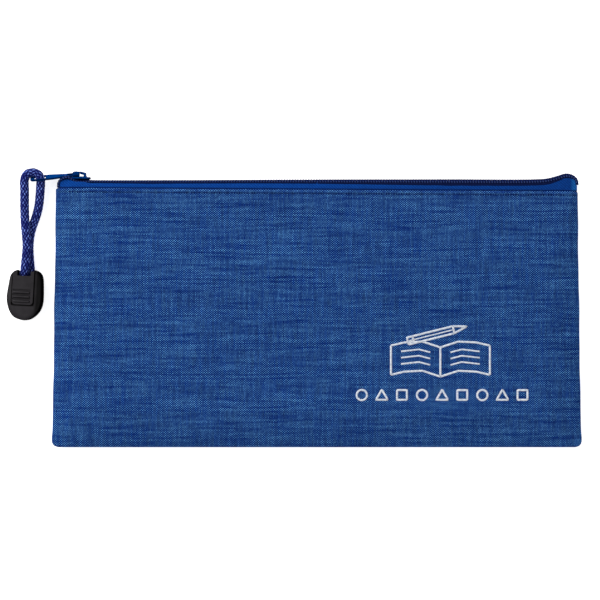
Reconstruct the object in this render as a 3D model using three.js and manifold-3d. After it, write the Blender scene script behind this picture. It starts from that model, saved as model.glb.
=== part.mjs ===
// A flat zipped school pencil case with a cord zip pull, lying on its back.
// Units are millimetres. Origin: centre of the back panel's resting face.
// +X runs along the zip, +Y points to the zip, +Z rises out of the front panel.
import * as THREE from "three";
import { mergeVertices } from "three/addons/utils/BufferGeometryUtils.js";
import Module from "manifold-3d";

const wasm = await Module();
wasm.setup();

// Case
const HALF_LENGTH_TOP = 116.3;
const HALF_LENGTH_BOTTOM = 117.9;
const BOTTOM_Y = -57.8;
const TOP_Y = 57.7;
const TOP_SLOPE = -0.0065;
const CORNER_R = 2.6;
const FABRIC_T = 0.9;
const SEAM_Z = 3.45;
const SEAM_GAP = 0.3;
const BACK_DEPTH = SEAM_Z - SEAM_GAP / 2 - FABRIC_T;
const FRONT_DEPTH = 4.4;
const MOUTH_DEPTH = 2.7;
const SIDE_SLOPE = 18;
const MOUTH_SIDE_SLOPE = 5;
const MOUTH_START_Y = 18;
const MOUTH_END_Y = 48;

// Stitching
const STITCH_Y = 55.4;
const STITCH_HALF_LENGTH = 108;
const THREAD_R = 0.16;
const GROOVE_W = 0.9;
const GROOVE_DEPTH = 0.5;
const SEAM_THREAD_R = 0.3;
const SEAM_THREAD_INSET = 3.2;

// Zip
const ZIP_Z = 3.6;
const COIL_Y = 61.3;
const COIL_R = 0.75;
const COIL_OFFSET = 1.3;
const TAPE_T = 0.5;
const TAPE_Y = 60.25;
const TAPE_FACE = 2.4;
const TAPE_INNER_EDGE = 0.55;
const TAPE_BEND_R = 1.2;
const TAPE_DEPTH_Y = 48.5;
const TAPE_HALF_LENGTH = 113.2;
const TAPE_HIDDEN_HALF_LENGTH = 109;
const TAPE_END_Y = 58.9;

// Slider
const SLIDER_X = -105.35;
const SLIDER_LENGTH = 8.1;
const SLIDER_WIDTH = 6;
const TOP_PLATE_Y = 62.35;
const TOP_PLATE_T = 0.6;
const BOTTOM_PLATE_Y = 58.75;
const BOTTOM_PLATE_T = 0.7;
const BOTTOM_PLATE_W = 2.9;
const POST_W = 0.6;
const BRIDGE_W = 1.3;
const BRIDGE_TOP_Y = 65.6;

// Pull tab, measured from its pivot along the tab
const PIVOT = new THREE.Vector3(-107.55, 64.2, ZIP_Z);
const TAB_LENGTH = 20.6;
const TAB_T = 0.9;
const TAB_BEVEL = 0.2;
const TAB_HALF_W_BRIDGE = 2.15;
const TAB_HALF_W_EYE = 3.55;
const TAB_DROP = THREE.MathUtils.degToRad(6);
const TAB_RISE = THREE.MathUtils.degToRad(6);
const TAB_TWIST = THREE.MathUtils.degToRad(18);
const BRIDGE_GAP = 0.82;

// Cord and its end
const CORD_R = 2;
const CORD_SIDES = 12;
const CORD_STEPS = 76;
const END_H = 9.4;
const END_EDGE = 2.1;
const END_EDGE_H = 1.6;
const END_OUTLINE = [
  [-133.4, 21.6],
  [-135.2, 20.7],
  [-136.5, 18.9],
  [-137.2, 15.6],
  [-137.9, 11.8],
  [-138.2, 8.8],
  [-137.8, 5.8],
  [-136.7, 2.6],
  [-134.8, 0.4],
  [-132.4, -0.6],
  [-129.9, -1.0],
  [-127.2, -0.1],
  [-124.7, 2.0],
  [-123.1, 4.7],
  [-122.4, 8.0],
  [-122.3, 12.3],
  [-122.4, 17.2],
  [-123.1, 19.6],
  [-124.7, 21.0],
  [-127.0, 21.5],
];
const LID_X = -130.65;
const LID_Y = 13.5;
const LID_TURN = THREE.MathUtils.degToRad(-3);
const LID_W = 9.6;
const LID_TOP_Y = 21;
const LID_BOTTOM_Y = 5.9;
const LID_Z = 8.4;
const LID_H = 1.5;
const LID_GAP = 0.3;
const NOTCH_W = 5.8;
const NOTCH_X = LID_X + 0.2;
const NOTCH_Y = 18.9;
const CAVITY_X = [-134.9, -125.8];

const smooth = (t) => {
  const c = Math.min(Math.max(t, 0), 1);
  return c * c * (3 - 2 * c);
};
const topEdge = (x) => TOP_Y + TOP_SLOPE * x;
const halfLength = (y) => {
  const t = (TOP_Y - y) / (TOP_Y - BOTTOM_Y);
  return HALF_LENGTH_TOP + (HALF_LENGTH_BOTTOM - HALF_LENGTH_TOP) * t;
};

// How far a panel stands off the seam plane, rising from the side and bottom seams.
function panelRise(x, y, middleDepth, mouthDepth) {
  const toMouth = smooth((y - MOUTH_START_Y) / (MOUTH_END_Y - MOUTH_START_Y));
  const depth = middleDepth + (mouthDepth - middleDepth) * toMouth;
  const sideSlope = SIDE_SLOPE + (MOUTH_SIDE_SLOPE - SIDE_SLOPE) * toMouth;
  const side = Math.min(Math.max((halfLength(y) - Math.abs(x)) / sideSlope, 0), 1);
  const bottom = Math.min(Math.max((y - BOTTOM_Y) / SIDE_SLOPE, 0), 1);
  const rise = (t) => 1 - (1 - t) * (1 - t);
  return depth * rise(side) * rise(bottom);
}

function toManifold(geometry) {
  const plain = geometry.clone();
  plain.deleteAttribute("normal");
  plain.deleteAttribute("uv");
  const merged = mergeVertices(plain, 1e-4);
  const mesh = new wasm.Mesh({
    numProp: 3,
    vertProperties: new Float32Array(merged.attributes.position.array),
    triVerts: new Uint32Array(merged.index.array),
  });
  return new wasm.Manifold(mesh);
}

function toGeometry(solid) {
  const mesh = solid.getMesh();
  const geometry = new THREE.BufferGeometry();
  geometry.setAttribute("position", new THREE.BufferAttribute(new Float32Array(mesh.vertProperties), 3));
  geometry.setIndex(new THREE.BufferAttribute(new Uint32Array(mesh.triVerts), 1));
  geometry.computeVertexNormals();
  return geometry;
}

function box(x0, x1, y0, y1, z0, z1) {
  const geometry = new THREE.BoxGeometry(x1 - x0, y1 - y0, z1 - z0);
  geometry.translate((x0 + x1) / 2, (y0 + y1) / 2, (z0 + z1) / 2);
  return geometry;
}

function tube(points, radius, steps, sides) {
  const shape = new THREE.Shape();
  shape.absarc(0, 0, radius, 0, Math.PI * 2);
  const path = new THREE.CatmullRomCurve3(points, false, "centripetal");
  return new THREE.ExtrudeGeometry(shape, { steps, extrudePath: path, curveSegments: sides / 2 });
}

function material(name, color, roughness, metalness) {
  const made = new THREE.MeshStandardMaterial({ color, roughness, metalness });
  made.name = name;
  return made;
}

const wovenFabric = () => material("woven_fabric", 0x29497f, 0.95, 0);
const zipTape = () => material("zip_tape", 0x153c81, 0.9, 0);
const zipCoil = () => material("zip_coil", 0x101f4d, 0.5, 0);
const sewingThread = () => material("sewing_thread", 0x1b2f5c, 0.8, 0);
const paintedMetal = () => material("painted_metal", 0x0b2350, 0.4, 0.6);
const braidedCord = () => material("braided_cord", 0x1a2468, 0.85, 0);
const blackPlastic = () => material("black_plastic", 0x2c2c2f, 0.6, 0);

// The case's outline as a prism, used to round the panels' corners.
function outlinePrism() {
  const low = BOTTOM_Y;
  const r = CORNER_R;
  const wide = halfLength(low);
  const high = HALF_LENGTH_TOP;
  const shape = new THREE.Shape();
  shape.moveTo(-wide + r, low);
  shape.lineTo(wide - r, low);
  shape.quadraticCurveTo(wide, low, wide, low + r);
  shape.lineTo(high, topEdge(high) - r);
  shape.quadraticCurveTo(high, topEdge(high), high - r, topEdge(high - r));
  shape.lineTo(-high + r, topEdge(-high + r));
  shape.quadraticCurveTo(-high, topEdge(-high), -high, topEdge(-high) - r);
  shape.lineTo(-wide, low + r);
  shape.quadraticCurveTo(-wide, low, -wide + r, low);
  const prism = new THREE.ExtrudeGeometry(shape, { depth: 30, bevelEnabled: false, curveSegments: 5 });
  prism.translate(0, 0, -10);
  return prism;
}

// One fabric panel: a dished sheet of even thickness that meets its partner at the seam plane.
function panelSheet(direction, middleDepth, mouthDepth) {
  const sheet = new THREE.BoxGeometry(2, 1, 1, 46, 28, 1);
  const at = sheet.attributes.position;
  const spread = (t) => 0.62 * t + 0.38 * Math.sin((t * Math.PI) / 2);
  for (let i = 0; i < at.count; i += 1) {
    const across = spread(at.getX(i));
    const up = (spread(2 * at.getY(i)) + 1) / 2;
    const outer = (at.getZ(i) + 0.5) * FABRIC_T;
    const flatX = across * (HALF_LENGTH_BOTTOM + 1);
    const y = BOTTOM_Y - 0.5 + up * (topEdge(flatX) - BOTTOM_Y + 1);
    const x = (flatX / (HALF_LENGTH_BOTTOM + 1)) * (halfLength(y) + 0.5);
    const rise = panelRise(x, y, middleDepth, mouthDepth);
    at.setXYZ(i, x, y, SEAM_Z + direction * (SEAM_GAP / 2 + rise + outer));
  }
  if (direction < 0) {
    const index = sheet.index.array;
    for (let i = 0; i < index.length; i += 3) {
      const first = index[i];
      index[i] = index[i + 2];
      index[i + 2] = first;
    }
  }
  return sheet;
}

function panel(direction, middleDepth, mouthDepth) {
  const face = SEAM_Z + direction * (SEAM_GAP / 2 + mouthDepth + FABRIC_T);
  const low = Math.min(face - direction * GROOVE_DEPTH, face + direction);
  const high = Math.max(face - direction * GROOVE_DEPTH, face + direction);
  const reach = STITCH_HALF_LENGTH + 0.5;
  const groove = box(-reach, reach, STITCH_Y - GROOVE_W / 2, STITCH_Y + GROOVE_W / 2, low, high);
  const trimmed = toManifold(panelSheet(direction, middleDepth, mouthDepth)).intersect(toManifold(outlinePrism()));
  return toGeometry(trimmed.subtract(toManifold(groove)));
}

// A straight run of topstitching, sunk in the panel's groove.
function topstitch(direction, mouthDepth) {
  const face = SEAM_Z + direction * (SEAM_GAP / 2 + mouthDepth + FABRIC_T);
  const z = face - direction * (THREAD_R + 0.03);
  const thread = new THREE.CylinderGeometry(THREAD_R, THREAD_R, 2 * STITCH_HALF_LENGTH, 8);
  thread.rotateZ(Math.PI / 2);
  thread.translate(0, STITCH_Y, z);
  return thread;
}

// The overlocked thread inside the left, bottom and right seams.
function seamThread() {
  const inset = SEAM_THREAD_INSET;
  const low = BOTTOM_Y + inset;
  const side = (y) => halfLength(y) - inset;
  const points = [
    [-side(46), 46],
    [-side(0), 0],
    [-side(-50), -50],
    [-side(-53) + 0.6, -53.2],
    [-side(-54) + 3.4, low],
    [0, low],
    [side(-54) - 3.4, low],
    [side(-53) - 0.6, -53.2],
    [side(-50), -50],
    [side(0), 0],
    [side(46), 46],
  ];
  const path = points.map(([x, y]) => new THREE.Vector3(x, y, SEAM_Z));
  return tube(path, SEAM_THREAD_R, 120, 6);
}

// One zip tape: flat behind its panel, then bent over to carry its coil.
function zipTapeHalf(direction) {
  const face = TAPE_FACE;
  const bendY = TAPE_Y - TAPE_BEND_R;
  const bendZ = face - TAPE_BEND_R;
  const shape = new THREE.Shape();
  shape.moveTo(TAPE_DEPTH_Y, face);
  shape.lineTo(bendY, face);
  shape.absarc(bendY, bendZ, TAPE_BEND_R, Math.PI / 2, 0, true);
  shape.lineTo(TAPE_Y, TAPE_INNER_EDGE);
  shape.lineTo(TAPE_Y - TAPE_T, TAPE_INNER_EDGE);
  shape.lineTo(TAPE_Y - TAPE_T, bendZ);
  shape.absarc(bendY, bendZ, TAPE_BEND_R - TAPE_T, 0, Math.PI / 2, false);
  shape.lineTo(TAPE_DEPTH_Y, face - TAPE_T);
  shape.closePath();
  const length = 2 * TAPE_HALF_LENGTH;
  const strip = new THREE.ExtrudeGeometry(shape, { depth: length, bevelEnabled: false, curveSegments: 5 });
  const axes = new THREE.Matrix4().makeBasis(
    new THREE.Vector3(0, 1, 0),
    new THREE.Vector3(0, 0, 1),
    new THREE.Vector3(1, 0, 0),
  );
  strip.applyMatrix4(axes);
  strip.translate(-TAPE_HALF_LENGTH, 0, 0);
  if (direction < 0) {
    strip.rotateX(Math.PI);
    strip.scale(1, -1, 1);
    const index = new THREE.BufferAttribute(new Uint32Array(strip.attributes.position.count), 1);
    for (let i = 0; i < index.count; i += 3) {
      index.array[i] = i + 2;
      index.array[i + 1] = i + 1;
      index.array[i + 2] = i;
    }
    strip.setIndex(index);
  }
  strip.translate(0, 0, ZIP_Z);
  let solid = toManifold(strip);
  for (const side of [-1, 1]) {
    const near = side * TAPE_HIDDEN_HALF_LENGTH;
    const far = side * (TAPE_HALF_LENGTH + 5);
    const cut = box(Math.min(near, far), Math.max(near, far), 40, TAPE_END_Y, -5, 15);
    solid = solid.subtract(toManifold(cut));
  }
  return toGeometry(solid);
}

// One row of the zip's coil, turned down into the seams at both ends.
function coil(direction) {
  const z = ZIP_Z + direction * COIL_OFFSET;
  const points = [
    [-116.1, 59.8],
    [-115.4, 60.9],
    [-113.6, COIL_Y],
    [-100, COIL_Y],
    [0, COIL_Y],
    [98, COIL_Y],
    [103, 61.6],
    [108, 62.7],
    [111.5, 63.5],
    [114.3, 63.2],
    [115.7, 61.7],
    [116, 59.7],
  ];
  const path = points.map(([x, y]) => new THREE.Vector3(x, y, z));
  return tube(path, COIL_R, 110, 10);
}

// Outline in the X and Z directions, drawn flat and stood on edge between two heights.
function plateOnEdge(shape, y, thickness) {
  const plate = new THREE.ExtrudeGeometry(shape, { depth: thickness, bevelEnabled: false, curveSegments: 6 });
  plate.rotateX(Math.PI / 2);
  plate.translate(0, y + thickness, 0);
  return plate;
}

function sliderBody() {
  const x0 = SLIDER_X - SLIDER_LENGTH / 2;
  const x1 = SLIDER_X + SLIDER_LENGTH / 2;
  const half = SLIDER_WIDTH / 2;
  const top = new THREE.Shape();
  top.moveTo(x0 + 1, ZIP_Z - half);
  top.quadraticCurveTo(x0, ZIP_Z - half, x0, ZIP_Z - half + 1);
  top.quadraticCurveTo(x0 + 0.9, ZIP_Z, x0, ZIP_Z + half - 1);
  top.quadraticCurveTo(x0, ZIP_Z + half, x0 + 1, ZIP_Z + half);
  top.lineTo(x1 - 0.8, ZIP_Z + half - 0.4);
  top.quadraticCurveTo(x1, ZIP_Z + half - 0.4, x1, ZIP_Z + half - 1.2);
  top.lineTo(x1, ZIP_Z - half + 1.2);
  top.quadraticCurveTo(x1, ZIP_Z - half + 0.4, x1 - 0.8, ZIP_Z - half + 0.4);
  top.closePath();
  const arch = new THREE.Shape();
  arch.moveTo(-109.3, TOP_PLATE_Y + 0.2);
  arch.lineTo(-109.3, BRIDGE_TOP_Y - 1.1);
  arch.quadraticCurveTo(-109.3, BRIDGE_TOP_Y, -108.2, BRIDGE_TOP_Y);
  arch.lineTo(-105.4, BRIDGE_TOP_Y - 0.1);
  arch.quadraticCurveTo(-103.4, BRIDGE_TOP_Y - 0.3, -102.6, TOP_PLATE_Y + 0.2);
  arch.closePath();
  const gap = new THREE.Path();
  gap.moveTo(-107.7, PIVOT.y - BRIDGE_GAP);
  gap.lineTo(-104.2, PIVOT.y - BRIDGE_GAP);
  gap.quadraticCurveTo(-104.3, PIVOT.y + 0.7, -105.4, PIVOT.y + BRIDGE_GAP);
  gap.lineTo(-107.7, PIVOT.y + BRIDGE_GAP);
  gap.absarc(-107.7, PIVOT.y, BRIDGE_GAP, Math.PI / 2, (Math.PI * 3) / 2, false);
  arch.holes.push(gap);
  const bridge = new THREE.ExtrudeGeometry(arch, { depth: BRIDGE_W, bevelEnabled: false, curveSegments: 6 });
  bridge.translate(0, 0, ZIP_Z - BRIDGE_W / 2);
  const plateTop = TOP_PLATE_Y + TOP_PLATE_T;
  const lowHalf = BOTTOM_PLATE_W / 2;
  const lowTop = BOTTOM_PLATE_Y + BOTTOM_PLATE_T;
  const bottom = box(x0 + 0.3, x1 - 0.4, BOTTOM_PLATE_Y, lowTop, ZIP_Z - lowHalf, ZIP_Z + lowHalf);
  const post = box(x0 + 0.7, x0 + 2.5, lowTop - 0.2, plateTop - 0.2, ZIP_Z - POST_W / 2, ZIP_Z + POST_W / 2);
  const flange = box(x0 + 0.6, x1 - 0.6, TAPE_Y + 0.35, plateTop - 0.2, ZIP_Z - half, ZIP_Z - half + 0.6);
  let solid = toManifold(plateOnEdge(top, TOP_PLATE_Y, TOP_PLATE_T));
  for (const piece of [bridge, bottom, post, flange]) {
    solid = solid.add(toManifold(piece));
  }
  return toGeometry(solid);
}

// Sets a plate drawn along the tab (x away from the pivot, y across) in its resting place.
function placeOnTab(geometry) {
  const away = new THREE.Vector3(-1, 0, 0);
  const across = new THREE.Vector3(0, 0, 1);
  const normal = new THREE.Vector3(0, 1, 0);
  geometry.applyMatrix4(new THREE.Matrix4().makeBasis(away, across, normal));
  geometry.rotateX(TAB_TWIST);
  geometry.rotateY(TAB_RISE);
  geometry.rotateZ(TAB_DROP);
  geometry.translate(PIVOT.x, PIVOT.y, PIVOT.z);
  return geometry;
}

function pullTab() {
  const near = TAB_HALF_W_BRIDGE - TAB_BEVEL;
  const far = TAB_HALF_W_EYE - TAB_BEVEL;
  const start = -0.35 + TAB_BEVEL;
  const end = TAB_LENGTH - TAB_BEVEL;
  const shape = new THREE.Shape();
  shape.moveTo(start, -near);
  shape.lineTo(4.5, -near);
  shape.bezierCurveTo(7.5, -near, 9, -far, 12.5, -far);
  shape.lineTo(end - 1.6, -far);
  shape.quadraticCurveTo(end, -far, end, -far + 1.6);
  shape.lineTo(end, far - 1.6);
  shape.quadraticCurveTo(end, far, end - 1.6, far);
  shape.lineTo(12.5, far);
  shape.bezierCurveTo(9, far, 7.5, near, 4.5, near);
  shape.lineTo(start, near);
  shape.closePath();
  const window = (x0, x1, half, r) => {
    const hole = new THREE.Path();
    hole.moveTo(x0 + r, -half);
    hole.lineTo(x1 - r, -half);
    hole.quadraticCurveTo(x1, -half, x1, -half + r);
    hole.lineTo(x1, half - r);
    hole.quadraticCurveTo(x1, half, x1 - r, half);
    hole.lineTo(x0 + r, half);
    hole.quadraticCurveTo(x0, half, x0, half - r);
    hole.lineTo(x0, -half + r);
    hole.quadraticCurveTo(x0, -half, x0 + r, -half);
    return hole;
  };
  shape.holes.push(window(0.35 - TAB_BEVEL, 4.1, 1.35 + TAB_BEVEL, 0.3));
  shape.holes.push(window(13.7 - TAB_BEVEL, 18.6 + TAB_BEVEL, 2.55 + TAB_BEVEL, 0.9));
  const plate = new THREE.ExtrudeGeometry(shape, {
    depth: TAB_T - 2 * TAB_BEVEL,
    bevelThickness: TAB_BEVEL,
    bevelSize: TAB_BEVEL,
    bevelSegments: 1,
    curveSegments: 5,
  });
  plate.translate(0, 0, -(TAB_T / 2 - TAB_BEVEL));
  return placeOnTab(plate);
}

// The braided cord: up through the tab's eye, over its end bar and back down to the cord end.
function pullCord() {
  const points = [
    [-128.0, 16.2, 3.2],
    [-128.0, 19.6, 2.95],
    [-128.3, 23.0, 2.95],
    [-128.6, 26.9, 2.95],
    [-128.8, 32.2, 2.95],
    [-128.2, 37.6, 3.0],
    [-127.0, 41.6, 3.3],
    [-125.5, 45.6, 3.8],
    [-124.3, 50.1, 4.4],
    [-123.7, 55.0, 4.9],
    [-123.4, 59.0, 5.15],
    [-123.4, 61.9, 5.3],
    [-124.4, 64.1, 5.45],
    [-127.0, 65.0, 5.7],
    [-129.4, 64.1, 5.9],
    [-130.45, 61.6, 6.0],
    [-130.4, 57.0, 6.05],
    [-130.4, 51.0, 6.15],
    [-130.1, 42.9, 6.6],
    [-129.6, 37.6, 7.0],
    [-129.2, 32.2, 7.3],
    [-129.6, 26.9, 7.35],
    [-130.0, 23.0, 7.1],
    [-130.6, 19.6, 6.1],
    [-131.9, 16.2, 5.5],
  ];
  const path = points.map(([x, y, z]) => new THREE.Vector3(x, y, z));
  return tube(path, CORD_R, CORD_STEPS, CORD_SIDES);
}

function cordKnot() {
  const knot = new THREE.SphereGeometry(1, 16, 12);
  knot.scale(3.7, 4.1, 3.3);
  knot.translate(-130.3, 10.9, 4.5);
  return knot;
}

// Turns something drawn square to the axes into the cord end's slightly turned lid.
function turnWithLid(geometry) {
  geometry.translate(-LID_X, -LID_Y, 0);
  geometry.rotateZ(LID_TURN);
  geometry.translate(LID_X, LID_Y, 0);
  return geometry;
}

function endHousing() {
  const [first, ...rest] = END_OUTLINE.map(([x, y]) => new THREE.Vector2(x, y));
  const shape = new THREE.Shape();
  shape.moveTo(first.x, first.y);
  shape.splineThru([...rest, first]);
  const shell = new THREE.ExtrudeGeometry(shape, {
    depth: END_H - 2 * END_EDGE_H,
    bevelThickness: END_EDGE_H,
    bevelSize: END_EDGE,
    bevelOffset: -END_EDGE,
    bevelSegments: 4,
    curveSegments: 3,
  });
  shell.translate(0, 0, END_EDGE_H);
  const [left, right] = CAVITY_X;
  const halfLid = LID_W / 2 + LID_GAP;
  const cavity = box(left, right, 6.4, 18.6, 0.75, END_H + 1);
  const mouth = box(NOTCH_X - NOTCH_W / 2, right, 18, 23, 0.75, END_H + 1);
  const seat = box(LID_X - halfLid, LID_X + halfLid, LID_BOTTOM_Y - LID_GAP, 24, LID_Z - LID_GAP, END_H + 1);
  let solid = toManifold(shell);
  for (const piece of [cavity, mouth, turnWithLid(seat)]) {
    solid = solid.subtract(toManifold(piece));
  }
  return toGeometry(solid);
}

function endLid() {
  const bevel = 0.3;
  const left = LID_X - LID_W / 2 + bevel;
  const right = LID_X + LID_W / 2 - bevel;
  const high = LID_TOP_Y - bevel;
  const low = LID_BOTTOM_Y + bevel;
  const notch = NOTCH_W / 2 + bevel;
  const shape = new THREE.Shape();
  shape.moveTo(left + 0.9, high);
  shape.quadraticCurveTo(left, high, left, high - 1.2);
  shape.lineTo(left, low + 1.6);
  shape.quadraticCurveTo(left, low, left + 1.6, low);
  shape.lineTo(right - 1.6, low);
  shape.quadraticCurveTo(right, low, right, low + 1.6);
  shape.lineTo(right, high);
  shape.lineTo(NOTCH_X + notch, high);
  shape.lineTo(NOTCH_X + notch, NOTCH_Y);
  shape.quadraticCurveTo(NOTCH_X + notch, NOTCH_Y - bevel, NOTCH_X + notch - 1, NOTCH_Y - bevel);
  shape.lineTo(NOTCH_X - notch + 1, NOTCH_Y - bevel);
  shape.quadraticCurveTo(NOTCH_X - notch, NOTCH_Y - bevel, NOTCH_X - notch, NOTCH_Y);
  shape.lineTo(NOTCH_X - notch, high);
  shape.closePath();
  const plate = new THREE.ExtrudeGeometry(shape, {
    depth: LID_H - 2 * bevel,
    bevelThickness: bevel,
    bevelSize: bevel,
    bevelSegments: 2,
    curveSegments: 5,
  });
  plate.translate(0, 0, LID_Z + bevel);
  let solid = toManifold(plate);
  for (const y of [12.5, 10.5, 8.6]) {
    const groove = box(LID_X - 4.5, LID_X + 3.5, y - 0.4, y + 0.4, LID_Z + LID_H - 0.5, LID_Z + LID_H + 1);
    solid = solid.subtract(toManifold(groove));
  }
  return turnWithLid(toGeometry(solid));
}

const group = new THREE.Group();
group.name = "pencil_case";

function addPart(name, geometry, look) {
  const mesh = new THREE.Mesh(geometry, look);
  mesh.name = name;
  group.add(mesh);
}

addPart("back_panel", panel(-1, BACK_DEPTH, BACK_DEPTH), wovenFabric());
addPart("front_panel", panel(1, FRONT_DEPTH, MOUTH_DEPTH), wovenFabric());
addPart("back_zip_tape", zipTapeHalf(-1), zipTape());
addPart("front_zip_tape", zipTapeHalf(1), zipTape());
addPart("back_zip_coil", coil(-1), zipCoil());
addPart("front_zip_coil", coil(1), zipCoil());
addPart("back_topstitch", topstitch(-1, BACK_DEPTH), sewingThread());
addPart("front_topstitch", topstitch(1, MOUTH_DEPTH), sewingThread());
addPart("seam_thread", seamThread(), sewingThread());
addPart("slider_body", sliderBody(), paintedMetal());
addPart("pull_tab", pullTab(), paintedMetal());
addPart("pull_cord", pullCord(), braidedCord());
addPart("cord_knot", cordKnot(), braidedCord());
addPart("cord_end_housing", endHousing(), blackPlastic());
addPart("cord_end_lid", endLid(), blackPlastic());

export default group;
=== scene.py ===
"""Looks of a flat zipped pencil case with a cord zip pull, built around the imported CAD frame."""
import math

import bpy
import numpy as np
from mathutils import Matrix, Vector


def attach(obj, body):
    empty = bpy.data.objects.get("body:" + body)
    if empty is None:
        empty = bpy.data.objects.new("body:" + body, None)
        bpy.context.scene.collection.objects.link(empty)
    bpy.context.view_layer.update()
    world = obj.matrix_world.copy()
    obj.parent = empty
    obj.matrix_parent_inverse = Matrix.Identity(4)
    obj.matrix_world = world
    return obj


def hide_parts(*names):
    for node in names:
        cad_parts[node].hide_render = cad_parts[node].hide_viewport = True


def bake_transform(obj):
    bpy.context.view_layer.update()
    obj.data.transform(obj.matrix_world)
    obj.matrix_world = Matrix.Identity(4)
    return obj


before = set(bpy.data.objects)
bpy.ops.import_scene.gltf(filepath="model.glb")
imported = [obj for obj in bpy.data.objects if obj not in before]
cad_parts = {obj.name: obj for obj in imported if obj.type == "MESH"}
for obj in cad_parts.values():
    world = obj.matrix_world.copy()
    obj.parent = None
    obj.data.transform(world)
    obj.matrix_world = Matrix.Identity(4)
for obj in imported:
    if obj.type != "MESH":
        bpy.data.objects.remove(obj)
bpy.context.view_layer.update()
rng = np.random.default_rng(7)
MM = 0.001

# ---------------------------------------------------------------- dimensions, in mm unless said
# Case. The front panel comes in two halves, split at its middle.
HALF_TOP, HALF_BOTTOM = 116.7, 118.3
BOTTOM_Y, TOP_Y, TOP_SLOPE = -57.8, 57.3, -0.0065
FABRIC_T, SEAM_Z = 0.9, 3.45
BACK_DEPTH, FRONT_DEPTH, MOUTH_DEPTH = 2.4, 4.4, 2.7
SIDE_SLOPE, MOUTH_SIDE_SLOPE = 18.0, 5.0
MOUTH_START_Y, MOUTH_END_Y = 18.0, 48.0
CORNER_R, TOP_CORNER_R = 2.6, 0.5
PUCKER_TOP_Y = 50.0  # the side seams' gathers end here
SKIN = 0.06  # the least gap between a panel's two faces
# The blends' ends are in metres.
LEFT_BLEND = ((-0.117, 0, 0), (-0.055, 0, 0))
RIGHT_BLEND = ((0.088, 0, 0), (0.035, 0, 0))

# Stitching
STITCH_DROP, STITCH_PITCH, STITCH_GAP = 1.7, 3.0, 0.44
STITCH_HALF_LENGTH, STITCH_R = 113.0, 0.19
SEAM_THREAD_INSET, OVERLOCK_PITCH = 3.2, 2.4

# Zip
ZIP_Z, COIL_OFFSET, COIL_R = 3.6, 1.3, 0.75
COIL_PITCH, WIRE_R = 1.2, 0.34
COIL_LINE = [
    (-115.2, 57.5, 0), (-115.5, 59.8, 0), (-114.7, 61.5, 0.3), (-112.9, 62.7, 1.3), (-111, 62.9, 1.5),
    (-109.2, 62.1, 0.8), (-107, 61.2, 0), (-100, 61.1, 0), (-60, 61.1, 0), (0, 61.2, 0), (60, 61.0, 0),
    (97, 61.0, 0), (103, 61.4, 0), (107.5, 62.5, 0), (111.3, 63.6, 0), (114.2, 63.2, 0), (115.9, 61.8, 0),
    (116.3, 59.6, 0),
]
COIL_END = 200.0  # beyond both ends of the zip
LIP_LAP = 0.25  # how far the tape's bend laps over the coil
TAPE_LEFT, TAPE_RIGHT = -115.2, 116.3
TAPE_T, TAPE_FACE, TAPE_BEND_R = 0.46, 2.4, 1.1
TAPE_INNER_EDGE = 0.6  # how close to the zip's middle plane the bent edge reaches

# Slider, tab and cord
PIVOT_X, PIVOT_Y = -107.55, 64.2  # where the tab turns on the slider's bridge
WEB_MIDDLE, WEB_TURN = (-104.6, 64.75), math.radians(-16)  # the web in the slider's bridge
WEB_HALF_SIZE = (1.6, 0.62, 0.6)
CORD_R = 1.93
BRAID_STRANDS = 8
BRAID_LAY = 0.4  # strand crossings per mm along the cord
BRAID_RELIEF = 0.24
CORD_POINTS = [
    (-128.0, 16.2, 3.2), (-128.0, 19.6, 2.95), (-128.3, 23.0, 2.95), (-128.6, 26.9, 2.95), (-128.8, 32.2, 2.95),
    (-128.2, 37.6, 3.0), (-127.0, 41.6, 3.3), (-125.5, 45.6, 3.8), (-124.3, 50.1, 4.4), (-123.7, 55.0, 4.9),
    (-123.4, 59.0, 5.15), (-123.4, 61.9, 5.3), (-124.4, 64.1, 5.45), (-127.0, 65.0, 5.7), (-129.4, 64.1, 5.9),
    (-130.45, 61.6, 6.0), (-130.4, 57.0, 6.05), (-130.4, 51.0, 6.15), (-130.1, 42.9, 6.6), (-129.6, 37.6, 7.0),
    (-129.2, 32.2, 7.3), (-129.6, 26.9, 7.35), (-130.0, 23.0, 7.1), (-130.6, 19.6, 6.1), (-131.9, 16.2, 5.5),
]

# Cord end
LID_X, LID_Y, LID_TURN = -130.65, 13.5, math.radians(-3)
LID_W, LID_BELOW = 9.6, 7.6  # the lid's width, and how far it reaches below LID_Y
LID_CORNER, LID_TOP_Z = 1.3, 9.9
RIDGE_Y = (11.5, 9.55, 7.5)
KNOT_MIDDLE, KNOT_R = (-130.35, 11.0, 4.5), 1.35

# Print
INK_WIDTH = 0.9
BOOK_X, BOOK_LOW, BOOK_HIGH = 55.0, -26.0, -13.0
PENCIL_START, PENCIL_TURN = (40.5, -10.2), math.radians(14)
SHAPES_Y = -34.2

# Weave
UV_MM = 250.0  # one unit of a fabric piece's UV map
WARP_PITCH, WEFT_PITCH = 0.56, 0.46  # from yarn to yarn
SOFT_IOR = 1.22  # for coats that hardly mirror the bright floor at a glance

# View
VIEW_WIDTH = 268.08  # seen across the picture, in the plane at height VIEW_Z
VIEW_Z = 5.0
CAMERA_XY = (-7.5, 8.1)
LENS, SENSOR = 120.0, 36.0


# ---------------------------------------------------------------- camera
def place(data, location):
    """A new object for a camera, a lamp or a mesh, at a place in metres."""
    obj = bpy.data.objects.new(data.name, data)
    bpy.context.scene.collection.objects.link(obj)
    obj.location = location
    return obj


def add_camera():
    """A long lens straight above the case."""
    cam = bpy.data.cameras.new("camera")
    cam.lens, cam.sensor_width = LENS, SENSOR
    cam.clip_start, cam.clip_end = 0.01, 20
    height = VIEW_WIDTH * LENS / SENSOR + VIEW_Z
    bpy.context.scene.camera = place(cam, Vector((*CAMERA_XY, height)) * MM)


add_camera()


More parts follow.
